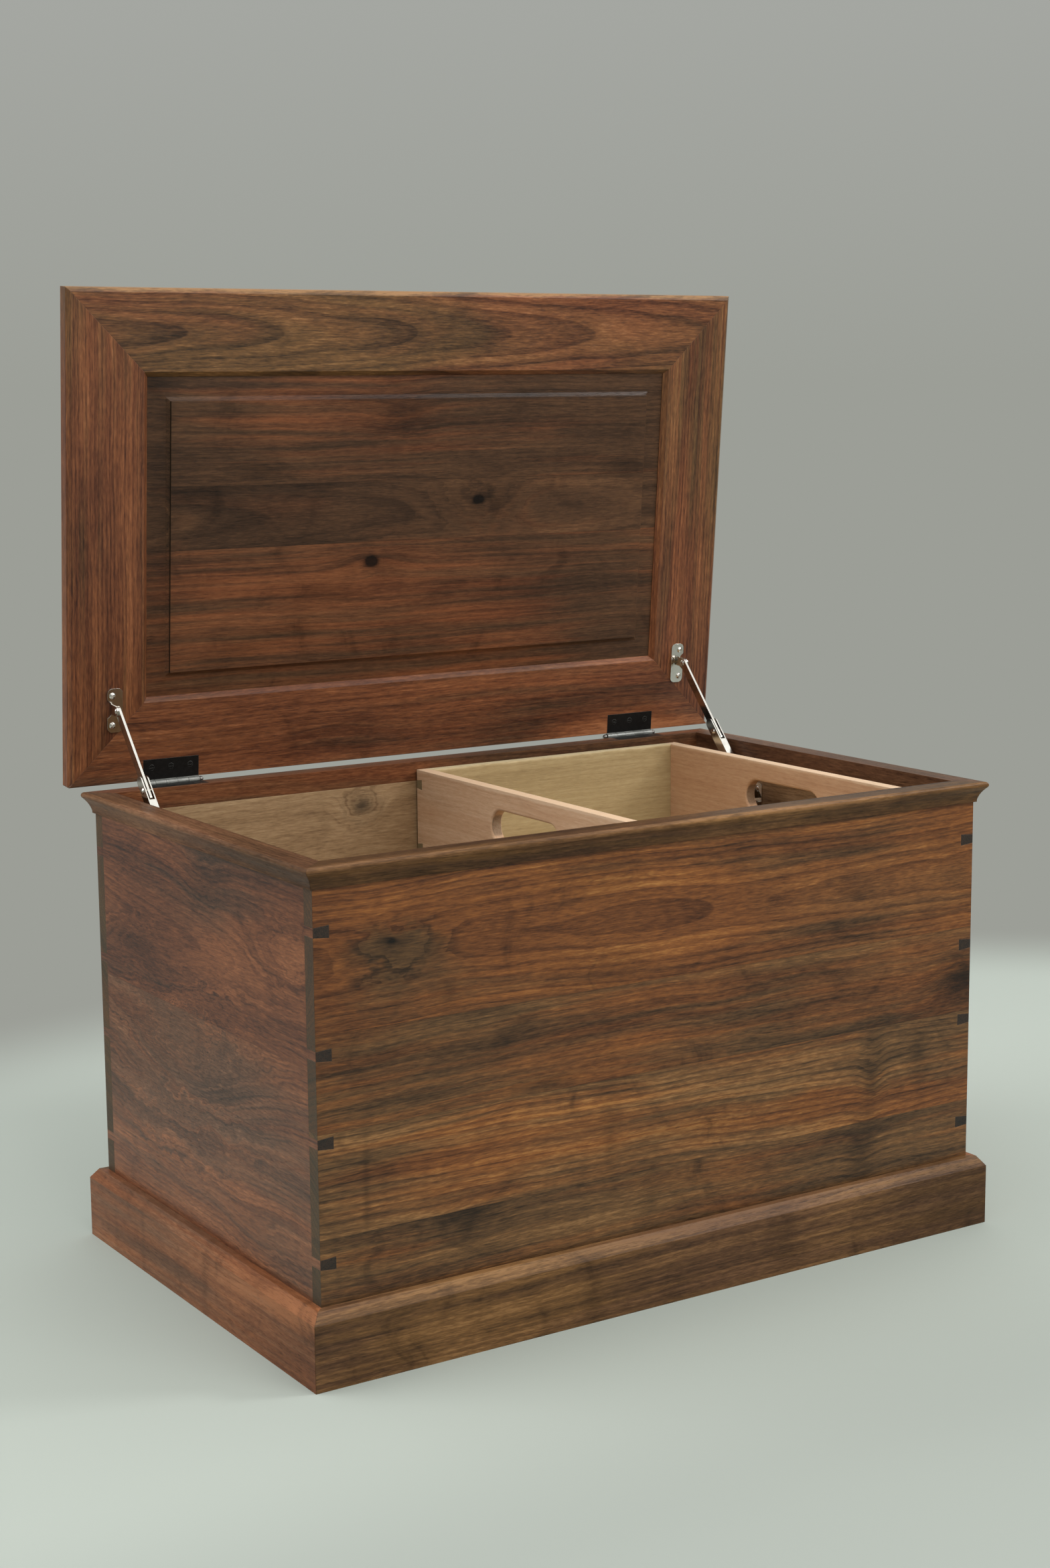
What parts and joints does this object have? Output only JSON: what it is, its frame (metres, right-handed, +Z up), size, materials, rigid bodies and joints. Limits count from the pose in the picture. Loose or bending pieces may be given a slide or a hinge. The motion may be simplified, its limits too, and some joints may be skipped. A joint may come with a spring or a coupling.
{
  "type": "blanket chest",
  "caption": "Dovetailed walnut blanket chest with a plinth base, a moulded rim, a raised-panel lid on butt hinges with folding stays, and a sliding tray with hand-holes.",
  "frame": {"origin": "on the floor, under the middle of the box around the open chest", "axes": "+X to the right along the front, +Y from front to back, +Z up; the lid is open as pictured"},
  "size_m": [0.966, 0.6126, 1.1624],
  "materials": {
    "walnut": "satin oil",
    "lid_walnut": "satin oil",
    "plain_wood": "unfinished",
    "tray_wood": "unfinished",
    "hinge_black": "black, satin",
    "hinge_pin_steel": "darkened",
    "nickel": "polished nickel plate"
  },
  "bodies": {
    "case": {"front_board": "walnut", "back_board": "walnut", "left_side": "walnut", "right_side": "walnut", "bottom_board": "plain_wood", "base_front": "walnut", "base_back": "walnut", "base_left": "walnut", "base_right": "walnut", "top_frame_front": "walnut", "top_frame_back": "walnut", "top_frame_left": "walnut", "top_frame_right": "walnut", "tray_runner_front": "plain_wood", "tray_runner_back": "plain_wood", "left_hinge_case_leaf": "hinge_black", "right_hinge_case_leaf": "hinge_black", "left_hinge_pin": "hinge_pin_steel", "right_hinge_pin": "hinge_pin_steel", "hinge_case_screws": "hinge_black", "left_stay_case_bracket": "nickel", "right_stay_case_bracket": "nickel", "stay_case_screws": "nickel"},
    "lid": {"lid_front_rail": "lid_walnut", "lid_back_rail": "lid_walnut", "lid_left_stile": "lid_walnut", "lid_right_stile": "lid_walnut", "lid_panel": "lid_walnut", "left_hinge_lid_leaf": "hinge_black", "right_hinge_lid_leaf": "hinge_black", "hinge_lid_screws": "hinge_black", "left_stay_lid_bracket": "nickel", "right_stay_lid_bracket": "nickel", "left_stay_lid_rivet": "nickel", "right_stay_lid_rivet": "nickel", "stay_lid_screws": "nickel"},
    "left_stay_upper": {"left_stay_arm": "nickel"},
    "left_stay_lower": {"left_stay_channel": "nickel", "left_stay_knee_rivet": "nickel", "left_stay_foot_pin": "nickel"},
    "right_stay_upper": {"right_stay_arm": "nickel"},
    "right_stay_lower": {"right_stay_channel": "nickel", "right_stay_knee_rivet": "nickel", "right_stay_foot_pin": "nickel"},
    "tray": {"tray_front": "tray_wood", "tray_back": "tray_wood", "tray_left_end": "tray_wood", "tray_right_end": "tray_wood", "tray_bottom": "tray_wood"}
  },
  "joints": [
    {"name": "lid_hinge", "type": "hinge", "parent": "case", "child": "lid", "pos_m": [0, 0.28734, 0.5614], "axis": [1, 0, 0], "range_deg": [0, 85]},
    {"name": "left_stay_lid_pivot", "type": "hinge", "parent": "lid", "child": "left_stay_upper", "pos_m": [-0.425, 0.2647, 0.6584], "axis": [1, 0, 0], "range_deg": [-29, 0]},
    {"name": "left_stay_knee", "type": "hinge", "parent": "left_stay_upper", "child": "left_stay_lower", "pos_m": [-0.425, 0.1886, 0.57085], "axis": [1, 0, 0], "range_deg": [-129, 0]},
    {"name": "right_stay_lid_pivot", "type": "hinge", "parent": "lid", "child": "right_stay_upper", "pos_m": [0.425, 0.2647, 0.6584], "axis": [1, 0, 0], "range_deg": [-29, 0]},
    {"name": "right_stay_knee", "type": "hinge", "parent": "right_stay_upper", "child": "right_stay_lower", "pos_m": [0.425, 0.1886, 0.57085], "axis": [1, 0, 0], "range_deg": [-129, 0]},
    {"name": "tray_slide", "type": "slide", "parent": "case", "child": "tray", "axis": [1, 0, 0], "range_m": [-0.388, 0.008]}
  ],
  "couplings": [
    {"joint": "left_stay_lid_pivot", "follows": "lid_hinge", "ratio": -0.33536},
    {"joint": "left_stay_knee", "follows": "lid_hinge", "ratio": -1.5128},
    {"joint": "right_stay_lid_pivot", "follows": "lid_hinge", "ratio": -0.33536},
    {"joint": "right_stay_knee", "follows": "lid_hinge", "ratio": -1.5128}
  ]
}
